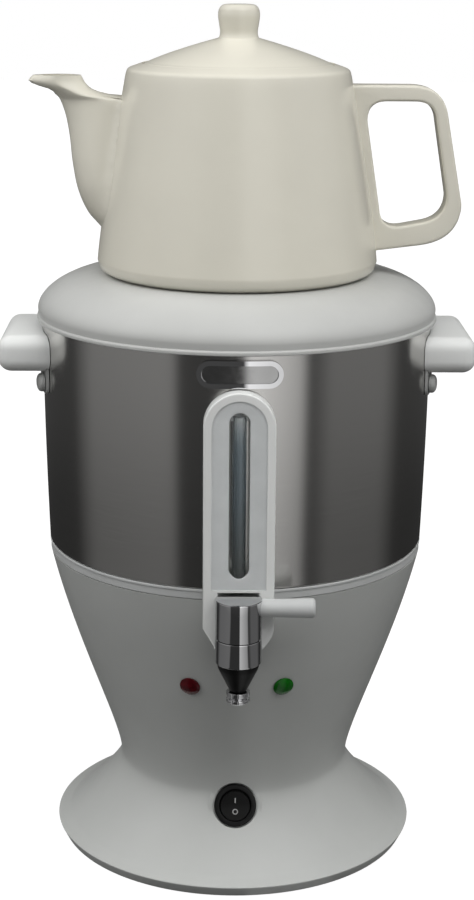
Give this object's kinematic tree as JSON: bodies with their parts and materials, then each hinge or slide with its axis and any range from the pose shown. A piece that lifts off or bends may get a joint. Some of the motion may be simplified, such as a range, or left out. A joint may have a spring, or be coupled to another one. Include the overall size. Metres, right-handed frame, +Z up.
{
  "type": "electric samovar",
  "caption": "Electric samovar: steel boiler on a moulded pedestal with a front tap and sight gauge, a lift-off cover and a lidded porcelain teapot on top.",
  "frame": {"origin": "on the table, under the middle of the outline seen from above, tap included", "axes": "+Z up, -Y towards the tap, +X towards the teapot's handle"},
  "size_m": [0.248, 0.2368, 0.4614],
  "materials": {
    "white_plastic": "smooth moulded white",
    "cover_plastic": "smooth moulded cool white",
    "black_plastic": "satin black",
    "screw_steel": "plain zinc-bright",
    "black_rubber": "matt",
    "grey_seal": "soft light grey",
    "boiler_steel": "fine satin polish",
    "cast_aluminium": "cast",
    "terminal_ceramic": "unglazed",
    "frosted_lens": "frosted, see-through",
    "clear_glass": "clear",
    "tap_chrome": "mirror",
    "tap_brass": "turned",
    "red_lens": "dark red, unlit",
    "green_lens": "green, unlit",
    "pot_porcelain": "glossy ivory glaze"
  },
  "bodies": {
    "stand": {"pedestal_foot": "white_plastic", "pedestal_bowl": "white_plastic", "base_plate": "black_plastic", "plate_screw_1": "screw_steel", "plate_screw_2": "screw_steel", "plate_screw_3": "screw_steel", "plate_screw_4": "screw_steel", "rubber_foot_1": "black_rubber", "rubber_foot_2": "black_rubber", "rubber_foot_3": "black_rubber", "rubber_foot_4": "black_rubber", "seal_ring": "grey_seal", "boiler_tank": "boiler_steel", "boiler_sump": "boiler_steel", "heater_plate": "cast_aluminium", "heater_element": "screw_steel", "heater_clamp": "screw_steel", "heat_limiter": "black_plastic", "thermal_cutout": "terminal_ceramic", "terminal_block": "terminal_ceramic", "cord_gland": "black_plastic", "gland_nut": "black_plastic", "gauge_housing": "white_plastic", "gauge_lens": "frosted_lens", "sight_tube": "clear_glass", "gauge_elbow_lower": "grey_seal", "gauge_elbow_upper": "grey_seal", "tap_body": "tap_chrome", "tap_cone": "black_plastic", "tap_tip": "tap_chrome", "tap_seal": "black_rubber", "tap_nut": "tap_brass", "front_plaque": "tap_chrome", "lamp_lens_red": "red_lens", "lamp_lens_green": "green_lens", "lamp_holder_red": "black_plastic", "lamp_holder_green": "black_plastic", "switch_body": "black_plastic", "side_handle_left": "white_plastic", "handle_strap_left": "boiler_steel", "side_handle_right": "white_plastic", "handle_strap_right": "boiler_steel", "strap_rivet_left_front": "boiler_steel", "strap_rivet_right_front": "boiler_steel", "strap_rivet_left_rear": "boiler_steel", "strap_rivet_right_rear": "boiler_steel"},
    "tap_handle": {"tap_turret": "tap_chrome", "tap_lever": "white_plastic", "tap_plug": "tap_brass"},
    "rocker": {"switch_rocker": "black_plastic"},
    "cover": {"shoulder_cover": "cover_plastic"},
    "teapot": {"teapot_body": "pot_porcelain", "teapot_spout": "pot_porcelain", "teapot_handle": "pot_porcelain"},
    "lid": {"teapot_lid": "pot_porcelain"}
  },
  "joints": [
    {"name": "tap_turn", "type": "hinge", "parent": "stand", "child": "tap_handle", "pos_m": [0, -0.1073, 0.1656], "axis": [0, 0, 1], "range_deg": [-90, 0]},
    {"name": "rocker_tip", "type": "hinge", "parent": "stand", "child": "rocker", "pos_m": [0, -0.05484, 0.03829], "axis": [1, 0, 0], "range_deg": [-16, 0]},
    {"name": "cover_lift", "type": "slide", "parent": "stand", "child": "cover", "axis": [0, 0, 1], "range_m": [0, 0.05]},
    {"name": "teapot_lift", "type": "slide", "parent": "cover", "child": "teapot", "axis": [0, 0, 1], "range_m": [0, 0.06]},
    {"name": "lid_lift", "type": "slide", "parent": "teapot", "child": "lid", "axis": [0, 0, 1], "range_m": [0, 0.04]}
  ]
}
